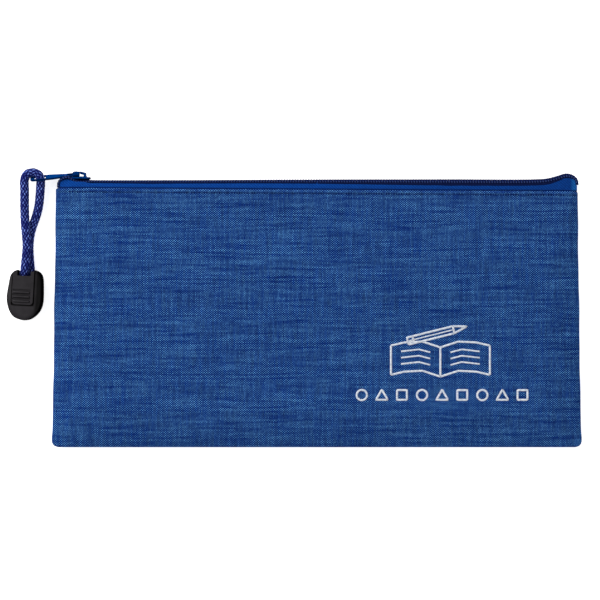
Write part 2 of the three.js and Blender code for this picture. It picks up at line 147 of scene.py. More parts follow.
# ---------------------------------------------------------------- mesh helpers
def smooth_mesh(name, verts, faces):
    """A smooth-shaded mesh from points in mm."""
    mesh = bpy.data.meshes.new(name)
    mesh.from_pydata((np.asarray(verts, float) * MM).tolist(), [], [list(map(int, f)) for f in faces])
    mesh.validate()
    mesh.update()
    mesh.shade_smooth()
    return mesh


def mesh_object(name, verts, faces, uv, sharp=None):
    """A mesh from points in mm, with one UV pair per point. Edges bent more than sharp degrees stay hard."""
    mesh = smooth_mesh(name, verts, faces)
    loops = np.zeros(len(mesh.loops), int)
    mesh.loops.foreach_get("vertex_index", loops)
    mesh.uv_layers.new(name="UVMap").data.foreach_set("uv", np.asarray(uv, float)[loops].ravel())
    if sharp is not None:
        mesh.set_sharp_from_angle(angle=math.radians(sharp))
    return place(mesh, (0, 0, 0))


def grid_faces(rows, cols, start=0, flip=False, wrap=False):
    """The quads of a grid of points. wrap joins its last column to its first."""
    r, c = np.meshgrid(np.arange(rows - 1), np.arange(cols if wrap else cols - 1), indexing="ij")
    a = start + r * cols + c
    b = start + r * cols + (c + 1) % cols
    quads = np.stack([a, b, b + cols, a + cols], -1).reshape(-1, 4)
    return quads[:, ::-1] if flip else quads


def rim_faces(rows, cols, first, second):
    """Joins the borders of two grids of one size, the first facing up."""
    ring = list(range(cols))
    ring += [r * cols + cols - 1 for r in range(1, rows)]
    ring += [(rows - 1) * cols + c for c in range(cols - 2, -1, -1)]
    ring += [r * cols for r in range(rows - 2, 0, -1)]
    following = ring[1:] + ring[:1]
    return np.array([[first + b, first + a, second + a, second + b] for a, b in zip(ring, following)])


def closed_skin(rings, ends=None):
    """Points and faces of a skin over a row of rings, closed at both ends by a fan about a middle point."""
    rows, cols = rings.shape[:2]
    if ends is None:
        ends = rings[[0, -1]].mean(axis=1)
    faces = grid_faces(rows, cols, wrap=True).tolist()
    first, last = rows * cols, rows * cols + 1
    for k in range(cols):
        faces.append([first, (k + 1) % cols, k])
        faces.append([last, first - cols + k, first - cols + (k + 1) % cols])
    return np.vstack([rings.reshape(-1, 3), ends]), faces


def full_turn(steps):
    """Angles once around, without the last one that would repeat the first."""
    return np.linspace(0, 2 * math.pi, steps, endpoint=False)


def turned(x, y, angle, middle):
    """Flat coordinates turned about their origin, which then moves to a middle."""
    cosine, sine = math.cos(angle), math.sin(angle)
    return middle[0] + x * cosine - y * sine, middle[1] + x * sine + y * cosine


def swollen(wave, power):
    """A sine or cosine drawn out towards 1 and -1, which turns round shapes boxy."""
    return np.sign(wave) * np.abs(wave) ** power


def lengths_along(line):
    """Distance from a line's start to each of its points."""
    return np.concatenate([[0], np.cumsum(np.linalg.norm(np.diff(line, axis=0), axis=1))])


def slab(name, upper, lower, uv):
    """A closed sheet from two grids of points (rows, cols, 3), the upper one facing +Z."""
    rows, cols = upper.shape[:2]
    count = rows * cols
    verts = np.concatenate([upper.reshape(-1, 3), lower.reshape(-1, 3)])
    faces = np.concatenate([
        grid_faces(rows, cols),
        grid_faces(rows, cols, count, flip=True),
        rim_faces(rows, cols, 0, count),
    ])
    return mesh_object(name, verts, faces, np.concatenate([uv.reshape(-1, 2)] * 2), sharp=50)


def catmull(points, per_mm):
    """Evenly spaced points on a smooth line through the given ones, and how far along it they are."""
    p = np.asarray(points, float)
    p = np.vstack([2 * p[0] - p[1], p, 2 * p[-1] - p[-2]])
    line = []
    for i in range(1, len(p) - 2):
        p0, p1, p2, p3 = p[i - 1:i + 3]
        t0 = 0.0
        t1 = t0 + np.linalg.norm(p1 - p0) ** 0.5
        t2 = t1 + np.linalg.norm(p2 - p1) ** 0.5
        t3 = t2 + np.linalg.norm(p3 - p2) ** 0.5
        t = np.linspace(t1, t2, 24, endpoint=False)[:, None]
        a1 = (t1 - t) / (t1 - t0) * p0 + (t - t0) / (t1 - t0) * p1
        a2 = (t2 - t) / (t2 - t1) * p1 + (t - t1) / (t2 - t1) * p2
        a3 = (t3 - t) / (t3 - t2) * p2 + (t - t2) / (t3 - t2) * p3
        b1 = (t2 - t) / (t2 - t0) * a1 + (t - t0) / (t2 - t0) * a2
        b2 = (t3 - t) / (t3 - t1) * a2 + (t - t1) / (t3 - t1) * a3
        line.append((t2 - t) / (t2 - t1) * b1 + (t - t1) / (t2 - t1) * b2)
    line = np.vstack(line + [p[-2][None]])
    along = lengths_along(line)
    count = max(int(round(along[-1] * per_mm)), 2)
    even = np.linspace(0, along[-1], count + 1)
    return np.stack([np.interp(even, along, line[:, k]) for k in range(3)], -1), even


def frames(line, up=(0.0, 0.0, 1.0)):
    """Tangents and two turning-free normals along a line."""
    tangent = np.gradient(line, axis=0)
    tangent /= np.linalg.norm(tangent, axis=1)[:, None]
    normal = np.zeros_like(line)
    n = np.array(up, float)
    for i, t in enumerate(tangent):
        n = n - t * (n @ t)
        n /= np.linalg.norm(n)
        normal[i] = n
    return tangent, normal, np.cross(tangent, normal)


def rings_about(line, angle, up=(0.0, 0.0, 1.0)):
    """Unit vectors out of a line, one for each of its points and each angle."""
    _, n1, n2 = frames(line, up)
    return n1[:, None] * np.cos(angle)[None, :, None] + n2[:, None] * np.sin(angle)[None, :, None]


def braid_relief(along, angle):
    """How far the braid's strands stand out of the cord, or dip under each other."""
    around, along = angle / (2 * math.pi) * BRAID_STRANDS, along * BRAID_LAY
    a, b = around + along, around - along
    over = (np.floor(a) + np.floor(b)) % 2 > 0.5
    fa, fb = a - np.floor(a), b - np.floor(b)
    cross, run = np.where(over, fa, fb), np.where(over, fb, fa)
    swell = np.sqrt(np.clip(np.sin(math.pi * cross), 0, 1))
    dip = np.sin(math.pi * run) ** 0.6
    return BRAID_RELIEF * (swell * dip - 0.5)


def braided_tube(name, line, radius, sides):
    """A braided cord along a line. Its UV map holds the turn around, and the distance along in 100 mm."""
    along = lengths_along(line)
    angle = full_turn(sides)
    reach = radius + braid_relief(along[:, None], angle[None])
    rings = line[:, None] + rings_about(line, angle) * reach[..., None]
    ends = [line[0] - (line[1] - line[0]) * 0.2, line[-1] + (line[-1] - line[-2]) * 0.2]
    mesh = smooth_mesh(name, *closed_skin(rings, ends))
    first_end = len(line) * sides
    uv = []
    for poly in mesh.polygons:
        around = [i % sides for i in poly.vertices if i < first_end]
        wraps = max(around) == sides - 1 and min(around) == 0
        for i in poly.vertices:
            if i >= first_end:
                uv.append((0.5, along[0] if i == first_end else along[-1]))
            else:
                turn = i % sides + (sides if wraps and i % sides == 0 else 0)
                uv.append((turn / sides, along[i // sides]))
    layer = mesh.uv_layers.new(name="UVMap")
    layer.data.foreach_set("uv", (np.array(uv) * (1, 0.01)).ravel())
    return dress(place(mesh, (0, 0, 0)), CORD)


# ---------------------------------------------------------------- material helpers
def linear(r, g, b):
    """An sRGB colour of 0 to 255 as linear RGBA."""
    def one(c):
        c /= 255
        return c / 12.92 if c <= 0.04045 else ((c + 0.055) / 1.055) ** 2.4
    return (one(r), one(g), one(b), 1.0)


class Look:
    """A node material written as short expressions."""

    def __init__(self, name, roughness=0.8, specular=0.5):
        self.mat = bpy.data.materials.new(name)
        self.mat.use_nodes = True
        self.tree = self.mat.node_tree
        self.bsdf = self.tree.nodes["Principled BSDF"]
        self.put(self.bsdf.inputs["Roughness"], roughness)
        self.put(self.bsdf.inputs["Specular IOR Level"], specular)

    def put(self, socket, value):
        """Links a socket to another, or sets it to a plain value."""
        if isinstance(value, bpy.types.NodeSocket):
            self.tree.links.new(value, socket)
        else:
            socket.default_value = value

    def node(self, kind, ins=(), **props):
        n = self.tree.nodes.new(kind)
        for k, v in props.items():
            setattr(n, k, v)
        for k, v in dict(ins).items():
            self.put(n.inputs[k], v)
        return n

    def math(self, op, a, b=None, clamp=False):
        ins = {0: a} if b is None else {0: a, 1: b}
        return self.node("ShaderNodeMath", ins, operation=op, use_clamp=clamp).outputs[0]

    def ramp(self, value, low, high, to_low=0.0, to_high=1.0):
        """Straight from to_low at low to to_high at high, and level beyond both."""
        ins = {"Value": value, "From Min": low, "From Max": high, "To Min": to_low, "To Max": to_high}
        return self.node("ShaderNodeMapRange", ins).outputs[0]

    def mix(self, factor, a, b, blend="MIX"):
        return self.node("ShaderNodeMix", {0: factor, 6: a, 7: b}, data_type="RGBA", blend_type=blend).outputs[2]

    def shaded(self, colour, shade):
        """A colour times a plain number."""
        return self.mix(1.0, colour, self.xyz(shade, shade, shade), "MULTIPLY")

    def xyz(self, x, y, z=0.0):
        return self.node("ShaderNodeCombineXYZ", {"X": x, "Y": y, "Z": z}).outputs[0]

    def split(self, vector):
        return list(self.node("ShaderNodeSeparateXYZ", {"Vector": vector}).outputs)

    def arch(self, value):
        """Half a sine wave: 0 at a value of 0 and 1, and 1 half way."""
        return self.math("SINE", self.math("MULTIPLY", value, math.pi))

    def cell(self, value, pitch):
        """The number of the cell that a value falls in, and how far through it."""
        at = self.math("DIVIDE", value, pitch)
        return self.math("FLOOR", at), self.math("FRACT", at)

    def noise(self, vector, scale=1.0, detail=2.0, rough=0.5):
        ins = {"Vector": vector, "Scale": scale, "Detail": detail, "Roughness": rough}
        return self.node("ShaderNodeTexNoise", ins).outputs["Fac"]

    def white(self, vector):
        return self.node("ShaderNodeTexWhiteNoise", {"Vector": vector}, noise_dimensions="3D").outputs["Value"]

    def uv(self):
        return self.split(self.node("ShaderNodeUVMap", uv_map="UVMap").outputs[0])[:2]

    def uv_mm(self):
        """The UV map's two coordinates in mm."""
        return [self.math("MULTIPLY", self.math("SUBTRACT", c, 0.5), UV_MM) for c in self.uv()]

    def object_mm(self):
        place = self.node("ShaderNodeTexCoord").outputs["Object"]
        return self.node("ShaderNodeVectorMath", {0: place, "Scale": 1000.0}, operation="SCALE").outputs[0]

    def facing(self):
        """How far a face looks along +X and along +Z, in the shared frame."""
        along_x, _, along_z = self.split(self.node("ShaderNodeTexCoord").outputs["Normal"])
        return along_x, along_z

    def bump(self, height, strength, distance_mm):
        n = self.node("ShaderNodeBump", {"Height": height, "Strength": strength, "Distance": distance_mm * MM})
        self.put(self.bsdf.inputs["Normal"], n.outputs[0])

    def colour(self, value):
        self.put(self.bsdf.inputs["Base Color"], value)

    def rough(self, value):
        self.put(self.bsdf.inputs["Roughness"], value)

    def matt_sides(self, flatness):
        """Takes the mirroring off faces that stand upright, so that they don't pick up the bright floor."""
        self.put(self.bsdf.inputs["IOR"], self.ramp(flatness, 0.4, 0.95, 1.0, SOFT_IOR))


def mm_uv(x, y):
    """UV pairs that hold x and y in mm."""
    return np.stack([x / UV_MM + 0.5, y / UV_MM + 0.5], -1)


# ---------------------------------------------------------------- materials
def below_fold(k, x, y):
    """Distance in mm from the panel's folded top edge down the case."""
    return k.math("SUBTRACT", k.math("ADD", k.math("MULTIPLY", x, TOP_SLOPE), TOP_Y), y)


def painted_fold_and_stitch_shading(k, x, y):
    """Painted shade where the topstitching pulls the cloth down, deeper in some places than in others, and a
    painted highlight on the fold.
    """
    below = below_fold(k, x, y)
    # How deep the painted groove shade goes, varying along the row.
    wear_and_groove_shade = k.ramp(k.noise(k.xyz(k.math("DIVIDE", x, 3.0), 2.0)), 0.38, 0.62, 0.4, 0.95)
    off_stitch = k.math("ABSOLUTE", k.math("SUBTRACT", below, STITCH_DROP))
    # Painted shade along the stitch line, and a painted highlight within 0.7 mm below the fold.
    return k.math("MULTIPLY", k.ramp(off_stitch, 0.2, 0.6, wear_and_groove_shade, 1.0), k.ramp(below, 0.7, 1.1, 1.12, 1.0))


def fabric_look():
    """Plain weave of dark and pale yarns, with long slubs along the weft and shorter ones along the warp."""
    k = Look("woven_fabric", roughness=0.95, specular=0.0)
    x, y = k.uv_mm()
    # Painted shade along the topstitching and a painted highlight on the fold.
    seam = painted_fold_and_stitch_shading(k, x, y)
    sway = k.noise(k.xyz(k.math("DIVIDE", x, 7.0), k.math("DIVIDE", y, 6.0), 11.0), 1.0, 1.0)
    y = k.math("ADD", y, k.ramp(sway, 0.3, 0.7, -0.12, 0.12))
    (warp_yarn, across_warp), (weft_yarn, across_weft) = k.cell(x, WARP_PITCH), k.cell(y, WEFT_PITCH)
    over = k.math("FLOORED_MODULO", k.math("ADD", warp_yarn, weft_yarn), 2.0)
    dome = k.math("SQRT", k.math("MULTIPLY", k.arch(across_warp), k.arch(across_weft)))

    weft = k.noise(k.xyz(k.math("DIVIDE", x, 24.0), k.math("MULTIPLY", weft_yarn, 0.5)), 1.0, 3.0, 0.6)
    warp = k.noise(k.xyz(k.math("MULTIPLY", warp_yarn, 0.8), k.math("DIVIDE", y, 13.0), 5.0), 1.0, 3.0, 0.6)
    post = k.noise(k.xyz(k.math("MULTIPLY", warp_yarn, 0.6), k.math("DIVIDE", y, 22.0), 8.0), 1.0, 2.0, 0.6)
    band = k.noise(k.xyz(k.math("DIVIDE", x, 34.0), k.math("DIVIDE", y, 2.6), 3.0), 1.0, 3.0, 0.6)
    crossing = k.white(k.xyz(warp_yarn, weft_yarn))
    light = k.math("MULTIPLY", k.ramp(weft, 0.32, 0.68, 0.22, 1.25), k.ramp(crossing, 0, 1, 0.5, 0.95))
    for share in (k.ramp(band, 0.32, 0.68, 0.82, 1.15), k.ramp(post, 0.32, 0.68, 0.7, 1.35),
                  k.math("POWER", dome, 1.6)):
        light = k.math("MULTIPLY", light, share)
    light = k.math("MULTIPLY", light, k.ramp(over, 0, 1, 0.0, 1.1), clamp=True)
    dark = k.mix(k.ramp(warp, 0.3, 0.7), linear(0, 14, 88), linear(0, 38, 124))
    # Painted shade: each yarn darker towards its edges and lighter on its crown, times a random tone in bands.
    shade = k.math("MULTIPLY", k.ramp(dome, 0, 1, 0.3, 1.2), k.ramp(band, 0.3, 0.7, 0.93, 1.07))
    k.colour(k.shaded(k.mix(light, dark, linear(106, 176, 236)), k.math("MULTIPLY", shade, seam)))
    k.bump(k.math("ADD", dome, k.math("MULTIPLY", over, 0.35)), 0.2, 0.1)
    return k.mat


def tape_look():
    """Close twill with diagonal ribs, with painted shade along the panel's fold and towards the zip's right end,
    and paler at its sewn end.
    """
    k = Look("zip_tape", roughness=0.9, specular=0.08)
    x, y = k.uv_mm()
    _, across_rib = k.cell(k.math("ADD", x, k.math("MULTIPLY", y, 1.1)), 1.3)
    _, across_pick = k.cell(y, 0.34)
    rib = k.arch(across_rib)
    fleck = k.noise(k.xyz(x, y), 1.7, 2.0)
    # Painted shade along the panel's fold.
    crease_shade = k.ramp(below_fold(k, x, y), -1.0, -0.15, 1.0, 0.05)
    end = k.ramp(x, 113.4, 114.4, 0.0, 0.6)
    tone = k.math("MULTIPLY", k.math("ADD", k.math("MULTIPLY", rib, 0.5), 0.4), k.ramp(fleck, 0.3, 0.7, 0.55, 1.1))
    # Painted shade: the tape darker towards its right end.
    tone = k.math("MULTIPLY", k.math("MULTIPLY", tone, crease_shade, clamp=True), k.ramp(x, -20.0, 105.0, 1.0, 0.72))
    base = k.mix(tone, linear(1, 18, 66), linear(10, 78, 170))
    k.colour(k.mix(k.math("MULTIPLY", end, tone), base, linear(40, 134, 214)))
    k.bump(k.math("ADD", rib, k.math("MULTIPLY", k.arch(across_pick), 0.3)), 0.6, 0.1)
    return k.mat


def coil_look():
    """Satin nylon wire, with a painted highlight on its crowns, round a dark filler cord.
    The UV map's V is the filler above 0.5, and below that the wire, with the painted highlight on its crowns at
    its upper end."""
    k = Look("zip_coil", roughness=0.5, specular=0.08)
    along, tone = k.uv()
    filler = k.math("GREATER_THAN", tone, 0.5)
    grain = k.noise(k.xyz(k.math("MULTIPLY", along, UV_MM), k.math("MULTIPLY", tone, 30.0)), 0.9, 3.0)
    wire = k.mix(k.ramp(grain, 0.35, 0.65), linear(6, 20, 68), linear(12, 32, 92))
    # Painted highlight on the wire's crowns.
    wire = k.mix(k.ramp(tone, 0.34, 0.4), wire, linear(60, 80, 136))
    k.colour(k.mix(filler, wire, linear(3, 16, 58)))
    k.rough(k.math("ADD", k.math("MULTIPLY", filler, 0.4), k.ramp(grain, 0.3, 0.7, 0.34, 0.5)))
    k.bump(grain, 0.08, 0.05)
    return k.mat


def thread_look():
    """Two-ply spun thread."""
    k = Look("sewing_thread", roughness=0.85, specular=0.1)
    x, y = k.uv_mm()
    _, across = k.cell(k.math("ADD", k.math("MULTIPLY", x, 2.6), k.math("MULTIPLY", y, 2.0)), 1.0)
    ply = k.arch(across)
    k.colour(k.mix(ply, linear(5, 16, 58), linear(20, 48, 106)))
    k.bump(ply, 0.5, 0.06)
    return k.mat


def metal_look(name="painted_metal", on_edge=False):
    """Satin enamel over die-cast metal, with painted shade on its upright faces. A tab that stands on edge has the
    painted shade on the faces that look up instead, and shows its upright face in full paint.
    """
    k = Look(name, roughness=0.5, specular=0.02)
    where = k.object_mm()
    fine = k.noise(where, 5.0, 3.0)
    wear_and_groove_shade = k.math("MULTIPLY", k.ramp(k.noise(where, 1.6, 4.0), 0.62, 0.72), 0.3)
    _, up = k.facing()
    k.matt_sides(up)
    flat = k.math("ABSOLUTE", up)
    # Painted shade by the way a face looks: upright faces dark, or on a tab that stands on edge, the faces that
    # look up.
    face = k.ramp(flat, 0.5, 0.9, 1.0, 0.25) if on_edge else k.ramp(flat, 0.2, 0.85)
    paint = k.mix(k.ramp(k.noise(where, 0.35, 2.0), 0.35, 0.65), linear(0, 40, 98), linear(2, 54, 118))
    k.colour(k.mix(wear_and_groove_shade, k.mix(face, linear(0, 10, 40), paint), linear(22, 66, 128)))
    k.rough(k.ramp(fine, 0.3, 0.7, 0.46, 0.6))
    k.bump(fine, 0.06, 0.05)
    return k.mat


def beyond_lid(k):
    """Distance in mm outside the lid's rounded outline, and distance right of the lid's middle."""
    x, y, _ = k.split(k.object_mm())
    dx, dy = k.math("SUBTRACT", x, LID_X), k.math("SUBTRACT", y, LID_Y)
    cosine, sine = math.cos(LID_TURN), math.sin(LID_TURN)
    across = k.math("ADD", k.math("MULTIPLY", dx, cosine), k.math("MULTIPLY", dy, sine))
    along = k.math("SUBTRACT", k.math("MULTIPLY", dy, cosine), k.math("MULTIPLY", dx, sine))
    side = k.math("SUBTRACT", k.math("ABSOLUTE", across), LID_W / 2 - LID_CORNER)
    below = k.math("SUBTRACT", LID_CORNER - LID_BELOW, along)
    squares = [k.math("POWER", k.math("MAXIMUM", d, 0.0), 2.0) for d in (side, below)]
    return k.math("SUBTRACT", k.math("SQRT", k.math("ADD", *squares)), LID_CORNER), across


def plastic_look(name="black_plastic", around_lid=False):
    """Moulded plastic with a fine grain, with painted shade on its flanks, more on faces that look right, and in
    the gap round the lid and right of it.
    """
    k = Look(name, roughness=0.5, specular=0.5)
    where = k.object_mm()
    grain = k.noise(where, 6.0, 4.0, 0.65)
    right, up = k.facing()
    flat = k.math("ABSOLUTE", up)
    k.matt_sides(flat)
    # Painted shade: upright flanks darker, and faces that look right darker still.
    shade = k.math("MULTIPLY", k.ramp(flat, 0.45, 0.96, 0.3, 1.0), k.ramp(right, 0.15, 0.6, 1.0, 0.6))
    if around_lid:
        outside, across = beyond_lid(k)
        # Painted shade in the gap round the lid and over the housing right of the lid, kept off the underside.
        lid_gap_and_right_shade = k.math("MULTIPLY", k.ramp(outside, 0.2, 0.75, 0.08, 1.0), k.ramp(across, 4.9, 6.2, 1.0, 0.15))
        underside = k.ramp(up, -0.3, 0.0, 1.0, 0.0)
        shade = k.math("MULTIPLY", shade, k.math("MAXIMUM", lid_gap_and_right_shade, underside))
    paint = k.mix(k.ramp(k.noise(where, 0.25, 2.0), 0.35, 0.65), linear(36, 34, 37), linear(44, 42, 45))
    k.colour(k.shaded(paint, shade))
    k.rough(k.ramp(grain, 0.3, 0.7, 0.3, 0.46))
    k.bump(grain, 0.26, 0.05)
    return k.mat


def cord_look():
    """Diamond braid of navy carriers, each with a pale yarn in it."""
    k = Look("braided_cord", roughness=0.85, specular=0.1)
    turn, hundreds = k.uv()
    around = k.math("MULTIPLY", turn, float(BRAID_STRANDS))
    along = k.math("MULTIPLY", hundreds, 100.0 * BRAID_LAY)
    (ia, fa), (ib, fb) = k.cell(k.math("ADD", around, along), 1.0), k.cell(k.math("SUBTRACT", around, along), 1.0)
    over = k.math("FLOORED_MODULO", k.math("ADD", ia, ib), 2.0)
    cross = k.node("ShaderNodeMix", {0: over, 2: fb, 3: fa}, data_type="FLOAT").outputs[0]
    run = k.node("ShaderNodeMix", {0: over, 2: fa, 3: fb}, data_type="FLOAT").outputs[0]
    yarn = k.arch(k.math("FRACT", k.math("MULTIPLY", cross, 3.0)))
    swell, dip = k.math("SQRT", k.arch(cross)), k.math("SQRT", k.arch(run))
    off_middle = k.math("ABSOLUTE", k.math("SUBTRACT", cross, 0.5))
    pale = k.math("MULTIPLY", k.ramp(off_middle, 0.08, 0.24, 1.0, 0.0), k.ramp(dip, 0.3, 0.6))
    pale = k.math("MULTIPLY", pale, k.ramp(k.white(k.xyz(ia, ib, over)), 0.1, 0.9, 0.1, 0.9), clamp=True)
    navy = k.mix(yarn, linear(0, 2, 58), linear(4, 16, 108))
    # Painted shade: strands darker where they dip under each other, lighter where they swell.
    shade = k.math("MULTIPLY", k.ramp(dip, 0, 1, 0.4, 1.0), k.ramp(swell, 0, 1, 0.55, 1.05))
    k.colour(k.shaded(k.mix(pale, navy, linear(124, 150, 236)), shade))
    k.bump(k.math("MULTIPLY", yarn, 0.5), 0.45, 0.08)
    return k.mat


def ink_look():
    """White screen print that breaks up a little over the weave."""
    k = Look("printed_ink", roughness=0.85, specular=0.1)
    x, y = k.uv_mm()
    (warp_yarn, across_warp), (weft_yarn, across_weft) = k.cell(x, WARP_PITCH), k.cell(y, WEFT_PITCH)
    dome = k.math("SQRT", k.math("MULTIPLY", k.arch(across_warp), k.arch(across_weft)))
    crossing = k.white(k.xyz(warp_yarn, weft_yarn, 3.0))
    cover = k.math("ADD", k.math("MULTIPLY", dome, 0.75), k.math("MULTIPLY", crossing, 0.55), clamp=True)
    k.colour(k.mix(cover, linear(110, 134, 176), linear(238, 241, 246)))
    k.bump(dome, 0.4, 0.1)
    return k.mat


FABRIC, TAPE, COIL, THREAD = fabric_look(), tape_look(), coil_look(), thread_look()
METAL, PLASTIC, CORD, INK = metal_look(), plastic_look(), cord_look(), ink_look()
# Copies of the plastic and the metal that differ in their painted shade: round the lid, and on a tab that stands
# on edge.
HOUSING = plastic_look("housing_plastic", around_lid=True)
TAB_METAL = metal_look("tab_metal", on_edge=True)


def dress(obj, mat):
    """Gives an object one material."""
    obj.data.materials.clear()
    obj.data.materials.append(mat)
    return obj


# ---------------------------------------------------------------- cord
def add_cord():
    """The braided cord, from the cord end through the tab's eye and back. The cord end hangs on it."""
    line, _ = catmull(CORD_POINTS, 5)
    cord = braided_tube("pull_cord_braid", line, CORD_R, 64)
    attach(cord, "cord")
    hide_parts("pull_cord")


add_cord()


# ---------------------------------------------------------------- case surfaces
def smooth(t):
    """Eases from 0 to 1 as t does, with no slope at either end."""
    c = np.clip(t, 0, 1)
    return c * c * (3 - 2 * c)


def top_edge(x):
    """Where the panels' folded edge at the zip lies."""
    return TOP_Y + TOP_SLOPE * x


def half_length(y):
    """Half the case's length, with soft waves in its side seams and fuller bottom corners."""
    straight = HALF_TOP + (HALF_BOTTOM - HALF_TOP) * (TOP_Y - y) / (TOP_Y - BOTTOM_Y)
    corner = 0.4 * np.exp(-((y - BOTTOM_Y - 3.5) / 3.2) ** 2)
    return straight + corner + 0.1 * np.sin(y / 7.0 + 1.0) + 0.05 * np.sin(y / 2.9)


def rise(x, y, middle, mouth):
    """How deep a panel is dished: middle in general, and mouth near the zip."""
    to_mouth = smooth((y - MOUTH_START_Y) / (MOUTH_END_Y - MOUTH_START_Y))
    depth = middle + (mouth - middle) * to_mouth
    slope = SIDE_SLOPE + (MOUTH_SIDE_SLOPE - SIDE_SLOPE) * to_mouth
    side = np.clip((half_length(y) - np.abs(x)) / slope, 0, 1)
    bottom = np.clip((y - BOTTOM_Y) / SIDE_SLOPE, 0, 1)
    return depth * (1 - (1 - side) ** 2) * (1 - (1 - bottom) ** 2)


def round_over(u, r):
    """0 at an edge, 1 from r inwards, on a quarter circle."""
    return np.sqrt(np.clip(1 - (1 - np.clip(u / r, 0, 1)) ** 2, 0, 1))


def waves(x, y, seed, count, low, high, tall):
    """Sum of soft ripples of the given range of wavelengths, in mm."""
    r = np.random.default_rng(seed)
    out = np.zeros_like(x)
    for _ in range(count):
        length = r.uniform(low, high)
        a = r.uniform(0, 2 * math.pi)
        out += np.sin(2 * math.pi * (x * math.cos(a) + y * math.sin(a)) / length + r.uniform(0, 6.28))
    return out * tall / math.sqrt(count)


def panel_grid(s0, s1, cols, rows):
    """Rows and columns of points inside the rounded outline, closer together near the edges."""
    t = np.linspace(-1, 1, rows)
    t = 0.55 * t + 0.45 * np.sin(t * math.pi / 2)
    s = np.linspace(s0, s1, cols)
    s = 0.6 * s + 0.4 * np.sin(s * math.pi / 2)
    across = s[None, :] * np.ones((rows, 1))
    flat_x = across * HALF_BOTTOM
    y = BOTTOM_Y + (t[:, None] + 1) / 2 * (top_edge(flat_x) - BOTTOM_Y)
    low = np.clip(CORNER_R - (y - BOTTOM_Y), 0, CORNER_R)
    high = np.clip(TOP_CORNER_R - (top_edge(flat_x) - y), 0, TOP_CORNER_R)
    cut = CORNER_R - np.sqrt(CORNER_R ** 2 - low ** 2)
    cut += TOP_CORNER_R - np.sqrt(TOP_CORNER_R ** 2 - high ** 2)
    return across * (half_length(y) - cut), y, cut


def seam_pucker(x, y):
    """Small gathers that the side and bottom seams pull into the cloth."""
    side = half_length(y) - np.abs(x)
    bottom = y - BOTTOM_Y
    at_sides = np.exp(-side / 5.0) * np.sin(y / 1.15 + 2 * np.sin(y / 9.0))
    at_bottom = np.exp(-bottom / 5.0) * np.sin(x / 1.3 + 2 * np.sin(x / 11.0))
    return 0.1 * (at_sides + at_bottom) * round_over(np.minimum(side, bottom), 3.0) * (y < PUCKER_TOP_Y)


def stitch_dip(x, y):
    """The groove that the row of topstitching pulls into the cloth."""
    off = y - (top_edge(x) - STITCH_DROP)
    beat = 0.65 + 0.35 * np.cos(2 * math.pi * x / STITCH_PITCH)
    return -0.28 * np.exp(-(off / 0.55) ** 2) * beat


def front_outer(x, y, cut):
    """Height of the front panel's outer face. cut is how far the corners' rounding pulls the sides in."""
    side = half_length(y) - np.abs(x) - cut
    inwards = round_over(side, 1.5) * round_over(y - BOTTOM_Y, 1.5)
    z = SEAM_Z + 0.04 + (FABRIC_T + 0.1 + rise(x, y, FRONT_DEPTH, MOUTH_DEPTH)) * inwards
    calm = smooth((half_length(y) - np.abs(x)) / 20) * smooth((y - BOTTOM_Y) / 20) * smooth((56 - y) / 25)
    z += calm * (waves(x, y, 3, 7, 55, 120, 0.28) + waves(x, y, 4, 7, 18, 40, 0.07) - 0.25)
    z += seam_pucker(x, y) + stitch_dip(x, y)
    fold = round_over(top_edge(x) - y, 0.55)
    return z - 0.55 * (1 - fold)


def front_inner(x, y, cut):
    """Height of the front panel's inner face."""
    z = SEAM_Z + 0.16 + rise(x, y, FRONT_DEPTH, MOUTH_DEPTH)
    return np.minimum(z, front_outer(x, y, cut) - SKIN)


def panel_cloth(name, outer, inner, s0, s1, cols, rows):
    """A panel, or one half of it, between the shares s0 and s1 of its half length."""
    x, y, cut = panel_grid(s0, s1, cols, rows)
    faces = [np.stack([x, y, face(x, y, cut)], -1) for face in (outer, inner)]
    if outer is back_outer:
        faces.reverse()
    return dress(slab(name, *faces, mm_uv(x, y)), FABRIC)


def add_front_panel():
    """The front panel in two halves, split at its middle."""
    for side, s0, s1, ends in (("left", -1, 0, LEFT_BLEND), ("right", 0, 1, RIGHT_BLEND)):
        obj = panel_cloth(f"front_panel_{side}", front_outer, front_inner, s0, s1, 150, 150)
        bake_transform(obj)
        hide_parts("front_panel")


def back_outer(x, y, cut):
    """Height of the back panel's outer face, flat where the case lies on the table."""
    side = half_length(y) - np.abs(x) - cut
    inwards = round_over(side, 1.5) * round_over(y - BOTTOM_Y, 1.5)
    z = SEAM_Z - 0.04 - (FABRIC_T + 0.11 + rise(x, y, BACK_DEPTH, BACK_DEPTH)) * inwards
    z -= seam_pucker(x, y) + 0.5 * stitch_dip(x, y)
    fold = round_over(top_edge(x) - y, 0.5)
    return np.maximum(z + 0.45 * (1 - fold), 0.0)


def back_inner(x, y, cut):
    """Height of the back panel's inner face."""
    z = SEAM_Z - 0.16 - rise(x, y, BACK_DEPTH, BACK_DEPTH)
    return np.maximum(z, back_outer(x, y, cut) + SKIN)


def add_back_panel():
    obj = panel_cloth("back_panel_cloth", back_outer, back_inner, -1, 1, 240, 130)
    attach(obj, "case_back")
    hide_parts("back_panel")


add_front_panel()
add_back_panel()


# ---------------------------------------------------------------- stitching
def stitch_part(start, end, radius, sides=8, rings=7):
    """A short thread that rises out of the cloth and dives back in."""
    t = np.linspace(0, 1, rings)
    out = np.array([0, 0, 1.0 if start[2] > SEAM_Z else -1.0])
    line = start[None] + (end - start)[None] * t[:, None]
    line = line + out * (np.sin(math.pi * t) ** 0.5 * 0.28 - 0.24)[:, None]
    fat = radius * (0.55 + 0.45 * np.sin(math.pi * np.clip(t, 0.08, 0.92)) ** 0.5)
    skin = line[:, None] + rings_about(line, full_turn(sides)) * fat[:, None, None]
    return closed_skin(skin, line[[0, -1]])


